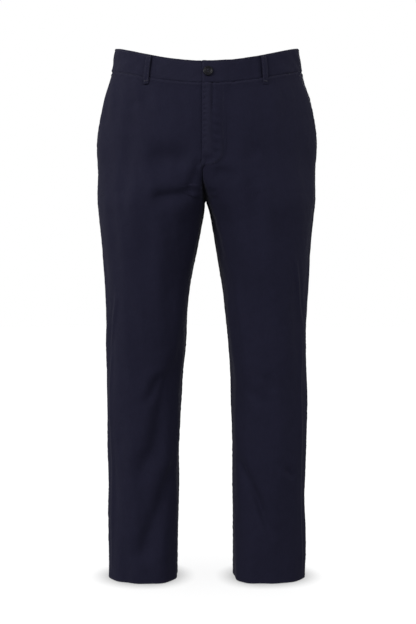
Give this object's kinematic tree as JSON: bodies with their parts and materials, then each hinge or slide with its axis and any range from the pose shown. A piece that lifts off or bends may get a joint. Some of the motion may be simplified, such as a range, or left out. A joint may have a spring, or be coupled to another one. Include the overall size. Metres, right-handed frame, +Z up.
{
  "type": "dress trousers",
  "caption": "Flat-front straight-leg twill trousers in their hollow worn form, with a buttoned waistband, fly, slanting side pockets and belt loops.",
  "frame": {"origin": "middle of the waist opening, level with the top edge of the waistband at the sides", "axes": "+Z up along the legs from hem to waist, the front faces -Y, the wearer's left side is at +X"},
  "size_m": [0.4365, 0.2734, 1.055],
  "materials": {
    "twill": "matte midnight navy cotton twill, fine diagonal rib, faint sheen on folded edges",
    "button": "near-black polyester button, satin rim, four holes",
    "thread": "navy sewing thread, slightly glossy"
  },
  "bodies": {
    "root": {"right_front_panel": "twill", "left_front_panel": "twill", "right_back_panel": "twill", "left_back_panel": "twill", "right_waistband": "twill", "left_waistband": "twill", "right_pocket_facing": "twill", "left_pocket_facing": "twill", "fly_shield": "twill", "right_front_belt_loop": "twill", "left_front_belt_loop": "twill", "right_back_belt_loop": "twill", "left_back_belt_loop": "twill", "centre_back_belt_loop": "twill", "waist_button": "button"}
  },
  "joints": []
}
